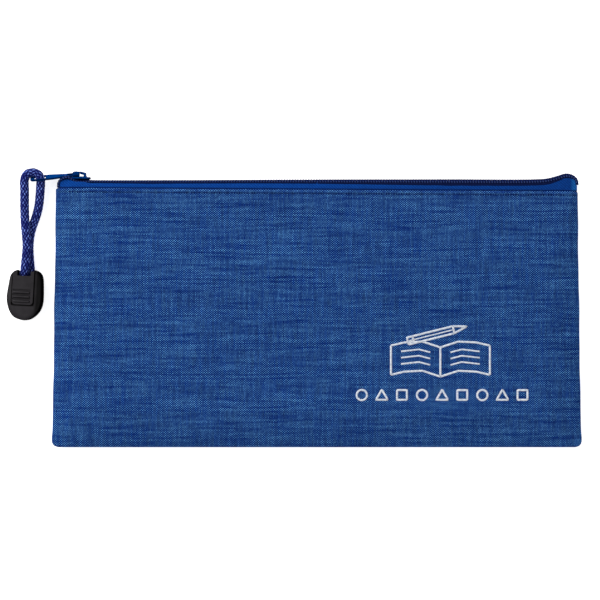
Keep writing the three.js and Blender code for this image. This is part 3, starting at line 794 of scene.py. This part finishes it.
def join_parts(name, parts):
    """One mesh from several parts: points in mm, faces and, where they have one, UV pairs."""
    verts, faces, uvs, at = [], [], [], 0
    for part in parts:
        verts.append(part[0])
        faces.extend([[i + at for i in f] for f in part[1]])
        uvs.append(part[2] if len(part) > 2 else mm_uv(part[0][:, 0], part[0][:, 1]))
        at += len(part[0])
    return mesh_object(name, np.vstack(verts), faces, np.vstack(uvs))


def topstitches(x0, x1, surface):
    """The row's stitches between x0 and x1, lying on a panel's outer face."""
    parts = []
    for i in range(math.ceil(x0 / STITCH_PITCH), int(x1 / STITCH_PITCH) + 1):
        a, b = i * STITCH_PITCH + STITCH_GAP / 2, (i + 1) * STITCH_PITCH - STITCH_GAP / 2
        if a < x0 or b > x1:
            continue
        ends = []
        for x in (a, b):
            y = top_edge(x) - STITCH_DROP + rng.uniform(-0.05, 0.05)
            z = float(surface(np.array([[x]]), np.array([[y]]), np.zeros((1, 1)))[0, 0])
            ends.append(np.array([x, y, z + 0.12]))
        parts.append(stitch_part(*ends, STITCH_R))
    return parts


def add_topstitching():
    halves = (("left", -STITCH_HALF_LENGTH, -0.1, LEFT_BLEND), ("right", -0.1, STITCH_HALF_LENGTH, RIGHT_BLEND))
    for side, x0, x1, ends in halves:
        obj = dress(join_parts(f"front_topstitch_{side}", topstitches(x0, x1, front_outer)), THREAD)
        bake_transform(obj)
        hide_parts("front_topstitch")
    row = topstitches(-STITCH_HALF_LENGTH, STITCH_HALF_LENGTH, back_outer)
    obj = dress(join_parts("back_topstitches", row), THREAD)
    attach(obj, "case_back")
    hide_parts("back_topstitch")


add_topstitching()


# ---------------------------------------------------------------- zip
def coil_radius(x):
    """Half the width of the coil as seen from above, which differs along the zip."""
    return np.interp(x, (-60, 0, 60, 112, 115.5), (0.7, 0.88, 1.18, 1.18, 0.8))


def coil_row(sign, phase):
    """Helix of nylon wire along the zip, with its heads towards the other row."""
    line, along = catmull(COIL_LINE, 14)
    _, n1, n2 = frames(line)
    turn = 2 * math.pi * (along / COIL_PITCH + phase)
    reach = np.cos(turn)
    centre = line + np.array([0, 0, ZIP_Z + sign * COIL_OFFSET])
    z_shift = -sign * (reach * (COIL_R - WIRE_R) + np.clip(reach - 0.55, 0, 1) * 0.3)
    lift = np.sin(turn) * (coil_radius(line[:, 0]) - WIRE_R)
    # The second value marks the wire's crowns, which the coil's look paints with a highlight.
    return centre + n1 * z_shift[:, None] - n2 * lift[:, None], np.clip(-reach, 0, 1)


def wire_part(line, radius, sides, tone, flat=None):
    """A tube whose UV map holds x along the case and a tone. flat is half its height, if other than its radius."""
    _, n1, n2 = frames(line, (0.1, 0.3, 1) if flat is None else (0, 0, 1))
    a = full_turn(sides)
    deep = np.broadcast_to(radius if flat is None else flat, len(line))[:, None, None]
    wide = np.broadcast_to(radius, len(line))[:, None, None]
    ring = n1[:, None] * np.cos(a)[None, :, None] * deep + n2[:, None] * np.sin(a)[None, :, None] * wide
    verts, faces = closed_skin(line[:, None] + ring, line[[0, -1]])
    along = np.concatenate([np.repeat(line[:, 0], sides), line[[0, -1], 0]])
    tone = np.broadcast_to(tone, len(line))
    tone = np.concatenate([np.repeat(tone, sides), tone[[0, -1]]])
    return verts, faces, np.stack([along / UV_MM + 0.5, tone], -1)


def core_part(sign, low, high):
    """The filler cord inside the coil, between low and high."""
    line, _ = catmull(COIL_LINE, 1.6)
    line = line[(line[:, 0] >= low) & (line[:, 0] <= high)]
    line = line + np.array([0, 0, ZIP_Z + sign * COIL_OFFSET])
    return wire_part(line, coil_radius(line[:, 0]) - 0.14, 12, 0.8, COIL_R - 0.14)


def stitch_band_and_shade_part(sign, low, high):
    """The dark band just below the coil, along the bend of its tape: the stitches that sew the coil on, and
    painted shade under the coil, its width set along the zip.
    """
    line, _ = catmull(COIL_LINE, 1.6)
    line = line[(line[:, 0] >= max(low, -103)) & (line[:, 0] <= min(high, 110))]
    x = line[:, 0]
    half = np.interp(x, (-103, -75, -30, 15, 60, 104, 110), (0.1, 0.42, 0.25, 0.4, 0.62, 0.55, 0.1))
    line[:, 1] += LIP_LAP - coil_radius(x) - half + 0.12
    line[:, 2] = ZIP_Z + sign * 2.12
    return wire_part(line, half, 12, 0.8, 0.42)


def add_coils():
    """Both rows of the coil, the front one in two halves split at the middle."""
    wire, crown_highlight = coil_row(-1, 0.5)
    row = wire_part(wire, WIRE_R, 7, crown_highlight * 0.4)
    parts = [row, core_part(-1, -COIL_END, COIL_END), stitch_band_and_shade_part(-1, -COIL_END, COIL_END)]
    back = join_parts("back_zip_coil_row", parts)
    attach(dress(back, COIL), "case_back")
    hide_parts("back_zip_coil")
    wire, crown_highlight = coil_row(1, 0.0)
    for side, low, high, ends in (("left", -COIL_END, 0.1, LEFT_BLEND), ("right", -0.1, COIL_END, RIGHT_BLEND)):
        keep = (wire[:, 0] >= low) & (wire[:, 0] <= high)
        row = wire_part(wire[keep], WIRE_R, 7, crown_highlight[keep] * 0.4)
        parts = [row, core_part(1, low, high), stitch_band_and_shade_part(1, low, high)]
        obj = join_parts(f"front_zip_coil_{side}", parts)
        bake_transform(dress(obj, COIL))
        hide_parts("front_zip_coil")


add_coils()


def coil_centre():
    """The coil's middle line from above, as y for rising x."""
    line, _ = catmull(COIL_LINE, 2)
    keep = (line[:, 0] > -116) & (line[:, 0] < 116.25)
    x, order = np.unique(np.round(line[keep, 0], 3), return_index=True)
    return x, line[keep, 1][order]


COIL_X, COIL_Y = coil_centre()


def tape_strip(name, sign, x0, x1):
    """Woven tape: flat behind its panel, then bent over under its coil, and pinched into the side seams.
    A row holds y and height off the zip's middle plane, for the outer and the inner face, and the UV map's y."""
    x = np.linspace(x0, x1, int((x1 - x0) / 0.6) + 2)
    at_slider = 1 - smooth((x + 105.5) / 5.0) if sign > 0 else 0 * x
    lip = np.interp(x, COIL_X, COIL_Y) - coil_radius(x) + LIP_LAP
    lip = lip + at_slider * np.interp(x, (-116, -111, -109, -106), (0.0, -0.25, 0.0, 0.6))
    bend = TAPE_BEND_R - 0.5 * at_slider
    small = bend - TAPE_T
    ripple = 0.07 * np.sin(x / 1.6 + 2.0 * np.sin(x / 17.0))
    sewn_y = np.where(np.abs(x) < 110, 49.0, 56.2)
    pinch = np.interp(np.abs(x), (109, 115.2), (1, 0.62))
    panel = front_inner if sign > 0 else back_inner
    rows = []
    for t in np.linspace(0, 1, 22):
        y = sewn_y + (lip - bend - sewn_y) * t
        room = np.abs(panel(x[None], np.minimum(y, 57.0)[None], 0 * x[None])[0] - ZIP_Z) - 0.08
        beyond = smooth((y - top_edge(x) + 0.2) / 1.6)
        face = np.minimum(TAPE_FACE, np.maximum(room, 0.55)) * (1 - beyond) + TAPE_FACE * beyond
        face = face * (pinch * beyond + 1 - beyond)
        rows.append((y, face + ripple * t, y, face - TAPE_T + ripple * t, y))
    for a in np.linspace(0, math.pi / 2, 9)[1:]:
        turn = a * (1 - 0.6 * at_slider)
        rows.append((lip - bend + bend * np.sin(turn), face - bend + bend * np.cos(turn),
                     lip - bend + small * np.sin(turn), face - bend + small * np.cos(turn),
                     lip - bend + bend * turn))
    y, z, inner_y, inner_z, v = rows[-1]
    for t in np.linspace(0, 1, 4)[1:]:
        drop = t * np.maximum(z - TAPE_INNER_EDGE, 0) * (1 - at_slider)
        rows.append((y, z - drop, inner_y, inner_z - drop, v + drop))
    faces = [np.stack([np.stack([x, r[k], ZIP_Z + sign * r[k + 1]], -1) for r in rows]) for k in (0, 2)]
    if sign < 0:
        faces.reverse()
    return dress(slab(name, *faces, np.stack([mm_uv(x, r[4]) for r in rows])), TAPE)


def add_tapes():
    """Both halves of the tape, the front one in two pieces split at the middle."""
    back = tape_strip("back_zip_tape_strip", -1, TAPE_LEFT, TAPE_RIGHT)
    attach(back, "case_back")
    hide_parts("back_zip_tape")
    for side, x0, x1, ends in (("left", TAPE_LEFT, 0.0, LEFT_BLEND), ("right", 0.0, TAPE_RIGHT, RIGHT_BLEND)):
        obj = tape_strip(f"front_zip_tape_{side}", 1, x0, x1)
        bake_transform(obj)
        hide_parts("front_zip_tape")


add_tapes()


# ---------------------------------------------------------------- printed motif
def stroke_part(points, width=INK_WIDTH, closed=False):
    """A flat ribbon of ink along a line, lying on the front panel."""
    p = np.asarray(points, float)
    if closed:
        p = np.vstack([p, p[:1]])
    along = lengths_along(p)
    even = np.linspace(0, along[-1], max(int(along[-1] / 0.5), 2) + 1)
    line = np.stack([np.interp(even, along, p[:, k]) for k in range(2)], -1)
    if closed:
        tangent = np.roll(line[:-1], -1, 0) - np.roll(line[:-1], 1, 0)
        tangent = np.vstack([tangent, tangent[:1]])
    else:
        tangent = np.gradient(line, axis=0)
    tangent /= np.linalg.norm(tangent, axis=1)[:, None] + 1e-9
    side = np.stack([-tangent[:, 1], tangent[:, 0]], -1) * width / 2
    flat = np.stack([line + side, line - side], 1).reshape(-1, 2)
    z = front_outer(flat[:, :1], flat[:, 1:], np.zeros((len(flat), 1)))
    rows, count = len(line), len(flat)
    faces = grid_faces(rows, 2).tolist() + grid_faces(rows, 2, count, flip=True).tolist()
    faces += rim_faces(rows, 2, 0, count).tolist()
    return np.vstack([np.hstack([flat, z + 0.07]), np.hstack([flat, z - 0.05])]), faces


def book_parts():
    """An open book with three lines on each page."""
    parts = []
    x, low = BOOK_X, BOOK_LOW
    for s in (-1, 1):
        edge = np.array([(x, low), (x + s * 8, low + 2.6), (x + s * 16, low + 2.2), (x + s * 22, low + 0.8)])
        top = edge + (0, BOOK_HIGH - low)
        parts += [stroke_part(edge), stroke_part(top), stroke_part([edge[-1], top[-1]])]
        for y in (low + 3.4, low + 6.2, low + 9.0):
            words = [(x + s * 4.5, y + 1.8), (x + s * 9.5, y + 3.1), (x + s * 17.5, y + 2.2)]
            parts.append(stroke_part(words, INK_WIDTH * 0.8))
    parts.append(stroke_part([(x, low), (x, BOOK_HIGH)]))
    return parts


def pencil_parts():
    """A pencil that lies above the book, drawn along +X and then turned."""
    outlines = [
        ([(0, 1.6), (21, 1.6), (21, -1.6), (0, -1.6)], INK_WIDTH, True),
        ([(21, 1.6), (27, 0), (21, -1.6)], INK_WIDTH, False),
        ([(25, 0.5), (25, -0.5)], INK_WIDTH, False),
        ([(2.6, 1.6), (2.6, -1.6)], INK_WIDTH, False),
        ([(0, 0), (21, 0)], INK_WIDTH * 0.6, False),
    ]
    parts = []
    for points, width, closed in outlines:
        x, y = np.array(points, float).T
        parts.append(stroke_part(np.stack(turned(x, y, PENCIL_TURN, PENCIL_START), -1), width, closed))
    return parts


def shape_row_parts():
    """A row of plain circles, triangles and squares."""
    a = np.linspace(0, 2 * math.pi, 40)
    circle = 2.3 * np.stack([np.cos(a), np.sin(a)], -1)
    triangle = [(-2.6, -2.1), (2.6, -2.1), (0, 2.4)]
    square = [(-2.2, -2.1), (2.2, -2.1), (2.2, 2.2), (-2.2, 2.2)]
    parts = []
    for i, x in enumerate(np.linspace(20, 91.5, 9)):
        outline = np.array((circle, triangle, square)[i % 3]) + (x, SHAPES_Y)
        parts.append(stroke_part(outline, closed=i % 3 > 0))
    return parts


def add_print():
    """The case's generic printed motif."""
    obj = dress(join_parts("front_print", book_parts() + pencil_parts() + shape_row_parts()), INK)
    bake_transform(obj)


add_print()


# ---------------------------------------------------------------- kept CAD nodes
def finish_node(name, mat, bevel):
    """A CAD node with its look, and its sharp edges broken by a bevel in mm."""
    obj = dress(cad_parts[name], mat)
    m = obj.modifiers.new("edges", "BEVEL")
    m.width, m.segments, m.limit_method = bevel * MM, 2, "ANGLE"
    m.angle_limit = math.radians(30)
    m.harden_normals = False


finish_node("slider_body", METAL, 0.12)
finish_node("pull_tab", TAB_METAL, 0.08)
finish_node("cord_end_housing", HOUSING, 0.12)
finish_node("cord_end_lid", PLASTIC, 0.1)


def add_knot():
    """A knot in the cord's two ends, hidden in the cord end."""
    t = np.linspace(0, 2 * math.pi, 220)
    reach = 1.55 + 0.62 * np.cos(3 * t)
    line = np.stack([1.15 * reach * np.cos(2 * t), 1.4 * reach * np.sin(2 * t), 1.35 * np.sin(3 * t)], -1)
    knot = braided_tube("cord_knot_braid", line + KNOT_MIDDLE, KNOT_R, 40)
    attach(knot, "cord")
    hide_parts("cord_knot")


def add_seam_thread():
    """Overlock thread zigzagging along the inside of the three closed seams."""
    def side(y):
        return half_length(y) - SEAM_THREAD_INSET

    low = BOTTOM_Y + SEAM_THREAD_INSET
    corner = [(side(-50), -50), (side(-53) - 0.6, -53.2), (side(-54) - 3.4, low)]
    points = [(-side(46), 46, 0), (-side(0), 0, 0)] + [(-x, y, 0) for x, y in corner] + [(0, low, 0)]
    points += [(x, y, 0) for x, y in corner[::-1]] + [(side(0), 0, 0), (side(46), 46, 0)]
    line, along = catmull(points, 3)
    tangent, _, _ = frames(line)
    out = np.cross(tangent, (0, 0, 1))
    turn = 2 * math.pi * along / OVERLOCK_PITCH
    line = line + out * (0.9 * np.sin(turn))[:, None] + np.array([0, 0, SEAM_Z])
    line[:, 2] += 0.12 * np.cos(turn)
    obj = dress(join_parts("seam_overlock", [wire_part(line, 0.16, 6, 0)[:2]]), THREAD)
    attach(obj, "case_back")
    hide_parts("seam_thread")


def add_grip_ridges():
    """Three half-round ridges between the lid's grooves."""
    parts = []
    t, a = np.linspace(-1, 1, 26)[:, None], full_turn(20)[None]
    taper = np.sqrt(np.clip(1 - np.abs(t) ** 12, 0.02, 1))
    for y in RIDGE_Y:
        x = -0.45 + 3.85 * t + 0 * a
        across = y - LID_Y + 0.58 * taper * np.cos(a)
        up = LID_TOP_Z + 0.5 * taper * np.sin(a)
        parts.append(closed_skin(np.stack([*turned(x, across, LID_TURN, (LID_X, LID_Y)), up], -1)))
    obj = dress(join_parts("lid_grip_ridges", parts), PLASTIC)
    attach(obj, "lid")


def add_tab_curl():
    """The tab's rolled end, a short barrel round the slider's bridge."""
    around, a = np.linspace(0, 2 * math.pi, 48)[:, None], full_turn(24)[None]
    r = 0.78 + 0.7 * swollen(np.cos(a), 0.6)
    z = ZIP_Z + 1.05 * swollen(np.sin(a), 0.6) + 0 * around
    rings = np.stack([PIVOT_X + r * np.cos(around), PIVOT_Y + r * np.sin(around), z], -1)
    faces = grid_faces(*rings.shape[:2], wrap=True).tolist()
    obj = dress(join_parts("pull_tab_curl", [(rings.reshape(-1, 3), faces)]), METAL)
    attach(obj, "tab")


def add_bridge_web():
    """The web that fills the upper corner of the slider's bridge."""
    tall, turn = np.linspace(-0.98, 0.98, 16)[:, None] * math.pi / 2, full_turn(32)[None]
    reach = swollen(np.cos(tall), 0.5)
    x = WEB_HALF_SIZE[0] * reach * swollen(np.cos(turn), 0.5)
    y = WEB_HALF_SIZE[1] * reach * swollen(np.sin(turn), 0.5)
    z = ZIP_Z + WEB_HALF_SIZE[2] * swollen(np.sin(tall), 0.5) + 0 * turn
    rings = np.stack([*turned(x, y, WEB_TURN, WEB_MIDDLE), z], -1)
    obj = dress(join_parts("slider_bridge_web", [closed_skin(rings)]), METAL)
    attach(obj, "slider")


add_knot()
add_seam_thread()
add_grip_ridges()
add_tab_curl()
add_bridge_web()


# ---------------------------------------------------------------- stage
def add_floor():
    """The white ground, which shines a little by itself."""
    mesh = bpy.data.meshes.new("floor")
    mesh.from_pydata([(-3, -3, 0), (3, -3, 0), (3, 3, 0), (-3, 3, 0)], [], [[0, 1, 2, 3]])
    k = Look("floor", roughness=0.9, specular=0.1)
    k.colour(k.mix(k.noise(k.object_mm(), 0.02, 1.0), (0.9, 0.9, 0.9, 1), (0.93, 0.93, 0.93, 1)))
    k.put(k.bsdf.inputs["Emission Color"], (1, 1, 1, 1))
    k.put(k.bsdf.inputs["Emission Strength"], 0.72)
    floor = dress(place(mesh, (0, 0, 0)), k.mat)


def add_world():
    """Even white light from all around."""
    world = bpy.data.worlds.new("studio")
    world.use_nodes = True
    world.node_tree.nodes["Background"].inputs[0].default_value = (1, 1, 1, 1)
    world.node_tree.nodes["Background"].inputs[1].default_value = 0.42
    bpy.context.scene.world = world


def add_lamps():
    """A key lamp at the upper left and a weak one opposite, both aimed at the case's middle."""
    for name, where, size, power in (("key", (-0.7, 0.55, 0.75), 0.9, 12.5), ("fill", (0.8, -0.4, 0.9), 0.9, 2.5)):
        lamp = bpy.data.lights.new(name, "AREA")
        lamp.energy, lamp.size = power, size
        place(lamp, where).rotation_euler = (-Vector(where)).to_track_quat("-Z", "Y").to_euler()


add_floor()
add_world()
add_lamps()
bpy.context.scene.view_settings.view_transform = "Standard"

bpy.context.view_layer.update()
